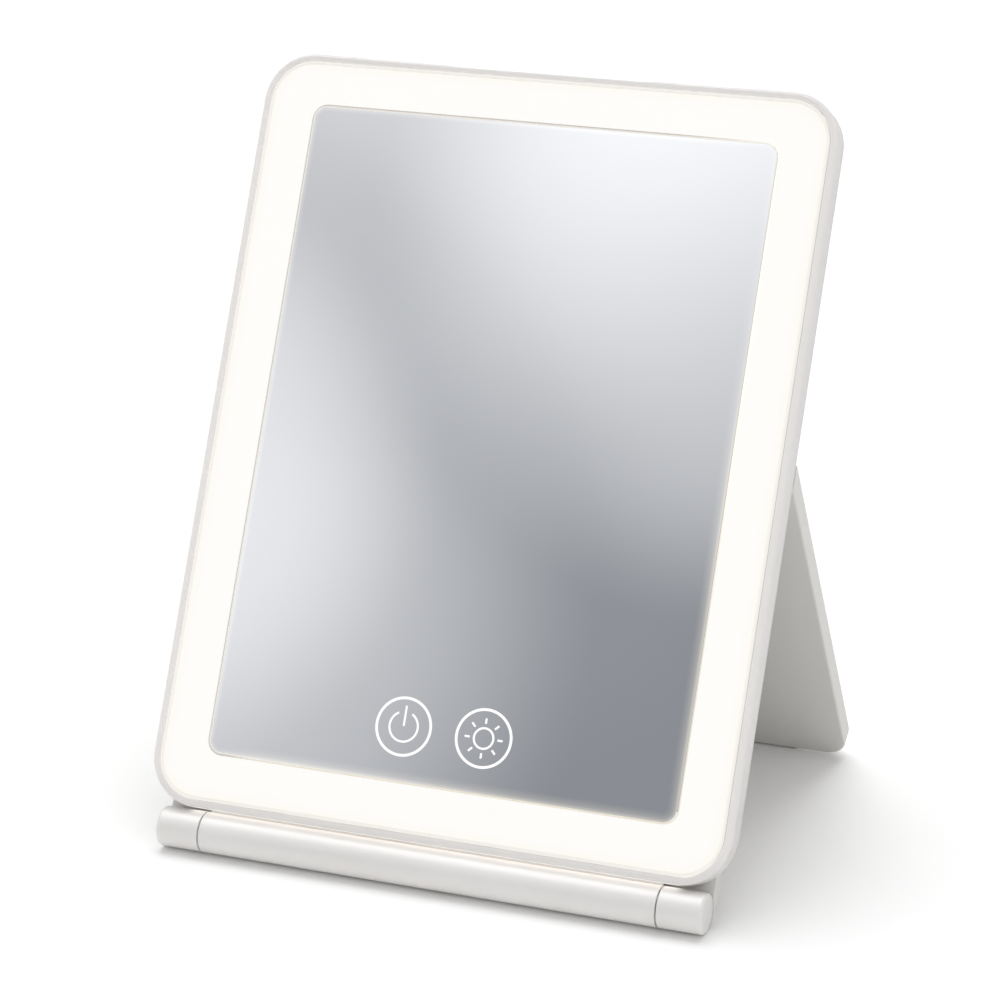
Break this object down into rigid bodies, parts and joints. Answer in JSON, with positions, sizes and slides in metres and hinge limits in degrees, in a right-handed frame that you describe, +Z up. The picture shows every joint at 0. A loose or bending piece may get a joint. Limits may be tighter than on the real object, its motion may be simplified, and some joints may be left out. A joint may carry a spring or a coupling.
{
  "type": "lighted makeup mirror",
  "caption": "Tablet-shaped makeup mirror with a lit border and touch symbols, tilting on a barrel hinge and held up by a folding rear leg.",
  "frame": {"origin": "on the table, under the middle of the whole part's box", "axes": "+Z up, +X to the right of someone facing the part, +Y towards the rear leg"},
  "size_m": [0.172, 0.1386, 0.2099],
  "materials": {
    "white_plastic": "satin moulded white",
    "pearl_plastic": "satin pearl white",
    "stand_plastic": "fine matt white",
    "frosted_acrylic": "frosted, lit from behind",
    "silvered_glass": "polished",
    "foam_tape": "matt foam",
    "circuit_board": "white solder mask",
    "lamp_resin": "clear resin over phosphor",
    "copper": "bare copper",
    "black_resin": "moulded black",
    "steel": "plain bright steel",
    "battery_foil": "pouch foil",
    "acetal": "natural acetal",
    "rubber": "matt grey"
  },
  "bodies": {
    "stand": {"back_plate": "stand_plastic", "left_knuckle": "pearl_plastic", "right_knuckle": "pearl_plastic", "hinge_pin": "steel", "friction_washers": "steel", "knuckle_screws": "steel", "barrel_feet": "rubber", "bumper_pads": "rubber", "leg_hinge_pin": "steel"},
    "mirror_head": {"front_frame": "white_plastic", "rear_shell": "white_plastic", "diffuser_panel": "frosted_acrylic", "mirror_glass": "silvered_glass", "glass_tape": "foam_tape", "led_strip_top": "circuit_board", "led_strip_bottom": "circuit_board", "led_strip_left": "circuit_board", "led_strip_right": "circuit_board", "led_chips": "lamp_resin", "touch_board": "circuit_board", "power_pad": "copper", "dimmer_pad": "copper", "main_board": "circuit_board", "board_chips": "black_resin", "usb_socket": "steel", "battery_cell": "battery_foil", "battery_tape": "foam_tape", "housing_screws": "steel", "hinge_barrel": "pearl_plastic", "hinge_screws": "steel", "left_bush": "acetal", "right_bush": "acetal"},
    "leg": {"leg_panel": "stand_plastic", "leg_back_cover": "stand_plastic", "leg_screws": "steel", "leg_foot_strip": "rubber"}
  },
  "joints": [
    {"name": "mirror_tilt", "type": "hinge", "parent": "stand", "child": "mirror_head", "pos_m": [0, -0.06352, 0.00605], "axis": [1, 0, 0], "range_deg": [0, 90]},
    {"name": "leg_swing", "type": "hinge", "parent": "stand", "child": "leg", "pos_m": [0, -0.00381, 0.10395], "axis": [1, 0, 0], "range_deg": [-60, 0]}
  ]
}
